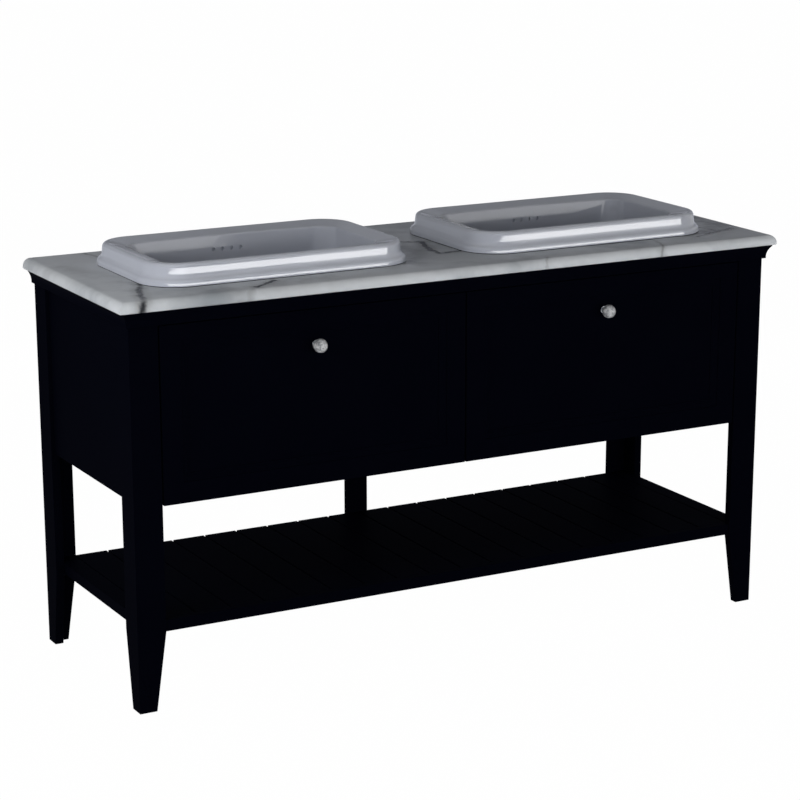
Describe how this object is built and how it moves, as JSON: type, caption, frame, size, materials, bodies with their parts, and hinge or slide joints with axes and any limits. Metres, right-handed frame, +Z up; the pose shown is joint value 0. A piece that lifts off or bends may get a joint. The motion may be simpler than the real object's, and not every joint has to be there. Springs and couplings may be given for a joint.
{
  "type": "vanity unit",
  "caption": "Free-standing double vanity unit: dark lacquered cabinet on tapered legs, framed drawers, slatted shelf, marble top and inset basins.",
  "frame": {"origin": "on the floor, under the middle of the whole object's box", "axes": "+X to the right, +Y to the wall, +Z up"},
  "size_m": [1.5, 0.524, 0.864],
  "materials": {
    "navy_lacquer": "satin lacquer on timber board, near-black navy",
    "marble": "polished white marble with grey veins",
    "glazed_ceramic": "gloss white glaze",
    "knob_stone": "polished mottled grey stone",
    "chrome": "polished chrome plate",
    "runner_steel": "zinc-plated sheet steel",
    "drawer_board": "clear-lacquered birch board",
    "brass": "plain turned brass",
    "rubber": "black rubber"
  },
  "bodies": {
    "cabinet": {"bottom_panel": "navy_lacquer", "centre_divider": "navy_lacquer", "front_cornice": "navy_lacquer", "front_top_rail": "navy_lacquer", "left_basin": "glazed_ceramic", "left_cornice": "navy_lacquer", "left_front_leg": "navy_lacquer", "left_inner_runner_cabinet_member": "runner_steel", "left_outer_runner_cabinet_member": "runner_steel", "left_rear_leg": "navy_lacquer", "left_runner_rail": "navy_lacquer", "left_shelf_rail": "navy_lacquer", "left_side_panel": "navy_lacquer", "left_waste": "chrome", "left_waste_nut": "brass", "left_waste_seal": "rubber", "marble_top": "marble", "rear_bottom_rail": "navy_lacquer", "rear_post": "navy_lacquer", "rear_top_rail": "navy_lacquer", "right_basin": "glazed_ceramic", "right_cornice": "navy_lacquer", "right_front_leg": "navy_lacquer", "right_inner_runner_cabinet_member": "runner_steel", "right_outer_runner_cabinet_member": "runner_steel", "right_rear_leg": "navy_lacquer", "right_runner_rail": "navy_lacquer", "right_shelf_rail": "navy_lacquer", "right_side_panel": "navy_lacquer", "right_waste": "chrome", "right_waste_nut": "brass", "right_waste_seal": "rubber", "shelf_front_rail": "navy_lacquer", "shelf_rear_rail": "navy_lacquer", "shelf_slats": "navy_lacquer"},
    "left_drawer": {"left_drawer_back": "drawer_board", "left_drawer_bottom": "drawer_board", "left_drawer_front": "navy_lacquer", "left_drawer_inner_side": "drawer_board", "left_drawer_outer_side": "drawer_board", "left_inner_runner_drawer_member": "runner_steel", "left_knob": "knob_stone", "left_knob_neck": "chrome", "left_outer_runner_drawer_member": "runner_steel"},
    "right_drawer": {"right_drawer_back": "drawer_board", "right_drawer_bottom": "drawer_board", "right_drawer_front": "navy_lacquer", "right_drawer_inner_side": "drawer_board", "right_drawer_outer_side": "drawer_board", "right_inner_runner_drawer_member": "runner_steel", "right_knob": "knob_stone", "right_knob_neck": "chrome", "right_outer_runner_drawer_member": "runner_steel"},
    "left_runner_middles": {"left_inner_runner_middle_member": "runner_steel", "left_outer_runner_middle_member": "runner_steel"},
    "right_runner_middles": {"right_inner_runner_middle_member": "runner_steel", "right_outer_runner_middle_member": "runner_steel"},
    "left_plug": {"left_waste_plug": "chrome"},
    "right_plug": {"right_waste_plug": "chrome"}
  },
  "joints": [
    {"name": "left_drawer_slide", "type": "slide", "parent": "cabinet", "child": "left_drawer", "axis": [0, -1, 0], "range_m": [0, 0.4]},
    {"name": "left_runner_slide", "type": "slide", "parent": "cabinet", "child": "left_runner_middles", "axis": [0, -1, 0], "range_m": [0, 0.2]},
    {"name": "left_plug_rise", "type": "slide", "parent": "cabinet", "child": "left_plug", "axis": [0, 0, 1], "range_m": [0, 0.008]},
    {"name": "right_drawer_slide", "type": "slide", "parent": "cabinet", "child": "right_drawer", "axis": [0, -1, 0], "range_m": [0, 0.4]},
    {"name": "right_runner_slide", "type": "slide", "parent": "cabinet", "child": "right_runner_middles", "axis": [0, -1, 0], "range_m": [0, 0.2]},
    {"name": "right_plug_rise", "type": "slide", "parent": "cabinet", "child": "right_plug", "axis": [0, 0, 1], "range_m": [0, 0.008]}
  ],
  "couplings": [
    {"joint": "left_runner_slide", "follows": "left_drawer_slide", "ratio": 0.5},
    {"joint": "right_runner_slide", "follows": "right_drawer_slide", "ratio": 0.5}
  ]
}
